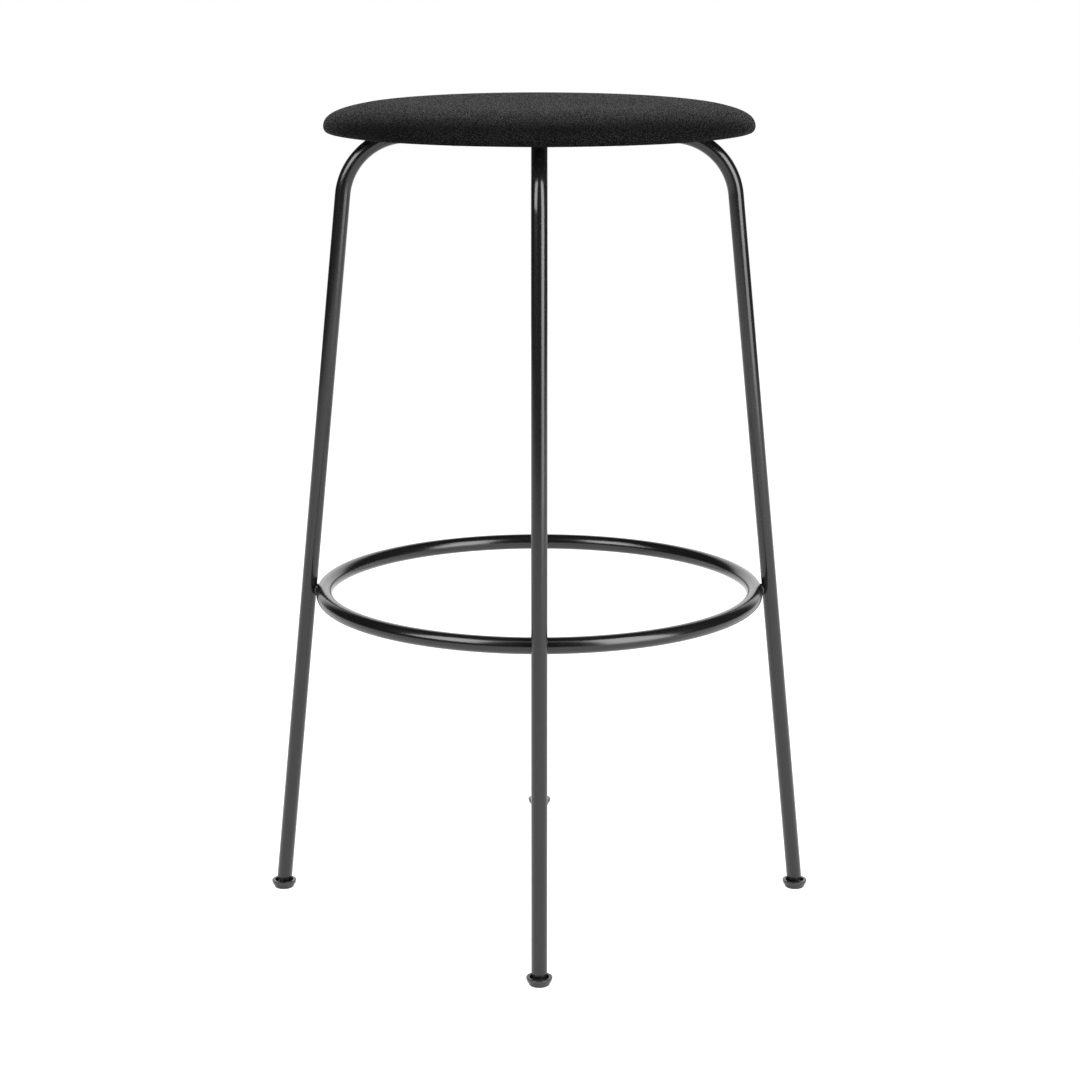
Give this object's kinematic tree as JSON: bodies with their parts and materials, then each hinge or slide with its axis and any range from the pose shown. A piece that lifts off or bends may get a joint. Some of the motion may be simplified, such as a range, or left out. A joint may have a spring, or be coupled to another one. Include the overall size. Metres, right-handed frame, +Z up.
{
  "type": "bar stool",
  "caption": "Round backless bar stool: slim bent tube legs, a footrest ring inside them, a thin domed upholstered seat and tilting floor glides.",
  "frame": {"origin": "on the floor below the middle of the seat", "axes": "+Z up; the four legs stand at -Y (front), +X, +Y (rear) and -X"},
  "size_m": [0.5078, 0.5078, 0.74],
  "materials": {
    "black_paint": "gloss black powder coat",
    "black_leather": "satin, fine pebble grain",
    "foam": "matt open foam",
    "plywood": "raw plywood",
    "dust_cloth": "matt non-woven cloth",
    "zinc_steel": "zinc plated",
    "insert_plastic": "matt",
    "base_plastic": "satin",
    "sole_plastic": "matt"
  },
  "bodies": {
    "frame": {"hub_block": "black_paint", "hub_welds": "black_paint", "footrest_ring": "black_paint", "footrest_welds": "black_paint", "seat_cover": "black_leather", "seat_foam": "foam", "seat_board": "plywood", "dust_cover": "dust_cloth", "t_nuts": "zinc_steel", "seat_screws": "zinc_steel", "seat_washers": "zinc_steel", "cover_staples": "zinc_steel", "dust_cover_staples": "zinc_steel", "leg_front": "black_paint", "tube_insert_front": "insert_plastic", "ball_stud_front": "zinc_steel", "leg_right": "black_paint", "tube_insert_right": "insert_plastic", "ball_stud_right": "zinc_steel", "leg_rear": "black_paint", "tube_insert_rear": "insert_plastic", "ball_stud_rear": "zinc_steel", "leg_left": "black_paint", "tube_insert_left": "insert_plastic", "ball_stud_left": "zinc_steel"},
    "glide_front": {"glide_base_front": "base_plastic", "glide_sole_front": "sole_plastic"},
    "glide_right": {"glide_base_right": "base_plastic", "glide_sole_right": "sole_plastic"},
    "glide_rear": {"glide_base_rear": "base_plastic", "glide_sole_rear": "sole_plastic"},
    "glide_left": {"glide_base_left": "base_plastic", "glide_sole_left": "sole_plastic"}
  },
  "joints": [
    {"name": "glide_front_tilt", "type": "hinge", "parent": "frame", "child": "glide_front", "pos_m": [0, -0.24253, 0.0046], "axis": [-1, 0, 0], "range_deg": [-4.2, 15.8]},
    {"name": "glide_right_tilt", "type": "hinge", "parent": "frame", "child": "glide_right", "pos_m": [0.24253, 0, 0.0046], "axis": [0, -1, 0], "range_deg": [-4.2, 15.8]},
    {"name": "glide_rear_tilt", "type": "hinge", "parent": "frame", "child": "glide_rear", "pos_m": [0, 0.24253, 0.0046], "axis": [1, 0, 0], "range_deg": [-4.2, 15.8]},
    {"name": "glide_left_tilt", "type": "hinge", "parent": "frame", "child": "glide_left", "pos_m": [-0.24253, 0, 0.0046], "axis": [0, 1, 0], "range_deg": [-4.2, 15.8]}
  ]
}
